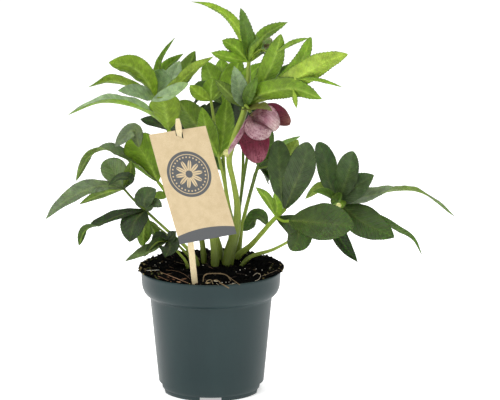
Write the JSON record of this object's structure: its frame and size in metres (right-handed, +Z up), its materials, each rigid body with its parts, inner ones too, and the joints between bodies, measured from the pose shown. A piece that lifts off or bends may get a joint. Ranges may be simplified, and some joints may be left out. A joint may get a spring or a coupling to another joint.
{
  "type": "flowering potted plant",
  "caption": "Hellebore with lobed toothed leaves and a nodding rose flower, in a round nursery pot of soil with a blank card tag on a wooden stake.",
  "frame": {"origin": "on the ground at the pot's axis, in the middle of the pad under its floor", "axes": "+Z up, +X to the right and +Y away, as seen in the picture"},
  "size_m": [0.373, 0.214, 0.3629],
  "materials": {
    "pot": "satin moulded plastic",
    "soil": "moist peat with bark, roots and moss",
    "stake": "bare sawn wood",
    "tag": "matt kraft card with a printed round ornament and band",
    "young_leaf": "satin leaf, light green",
    "mid_leaf": "satin leaf, mid green",
    "grey_leaf": "satin leaf with a grey bloom",
    "dark_leaf": "satin leaf, dark green",
    "flower_stem": "smooth stem and bracts, light green",
    "sepals": "satin sepals, rose with darker spots and veins",
    "stamens": "matt filaments and anthers, cream"
  },
  "bodies": {
    "root": {"pot": "pot", "soil": "soil", "stake": "stake", "tag": "tag", "leaf_upper_left": "young_leaf", "leaf_mid_left": "young_leaf", "leaf_left": "mid_leaf", "leaf_low_left": "grey_leaf", "leaf_rim_left": "mid_leaf", "leaf_front_left": "dark_leaf", "leaf_centre": "young_leaf", "leaf_back_centre": "mid_leaf", "leaf_right": "dark_leaf", "leaf_far_right": "grey_leaf", "leaf_back_right": "dark_leaf", "leaf_back_low": "dark_leaf", "leaf_back_left": "dark_leaf", "flower_stem": "flower_stem", "flower_sepals": "sepals", "flower_stamens": "stamens"}
  },
  "joints": []
}
